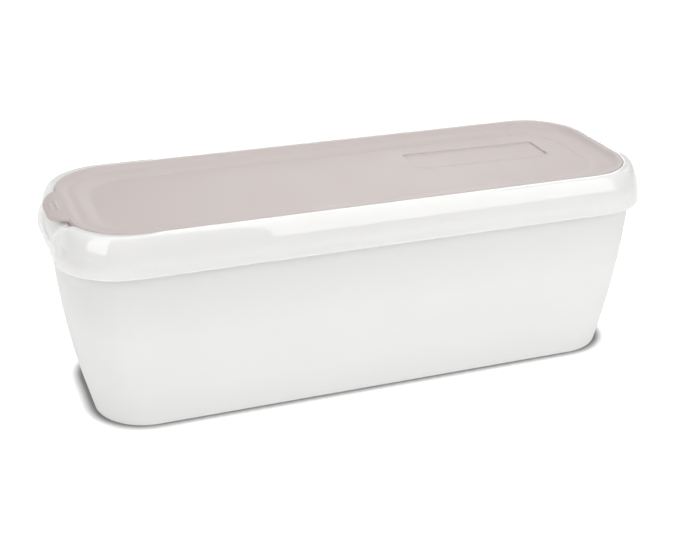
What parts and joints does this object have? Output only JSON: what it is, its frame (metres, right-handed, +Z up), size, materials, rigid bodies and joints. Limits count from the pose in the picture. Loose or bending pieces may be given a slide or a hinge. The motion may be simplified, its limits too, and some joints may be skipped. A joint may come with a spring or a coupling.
{
  "type": "ice cream container",
  "caption": "Long narrow ice cream tub with rounded corners, a glossy rim collar and a shut press-in silicone lid with a pull tab over a finger scoop.",
  "frame": {"origin": "centre of the overall box at the height of the surface that the tub stands on", "axes": "+Z up; X along the tub's long side, with the lid's pull tab at the -X end; Y across the tub, with the pictured side facing -Y"},
  "size_m": [0.362, 0.131, 0.1212],
  "materials": {
    "body_plastic": "satin milky white moulded plastic",
    "collar_plastic": "glossy white moulded plastic",
    "lid_silicone": "soft matte warm grey silicone"
  },
  "bodies": {
    "root": {"tub_body": "body_plastic", "rim_collar": "collar_plastic", "lid": "lid_silicone"}
  },
  "joints": []
}
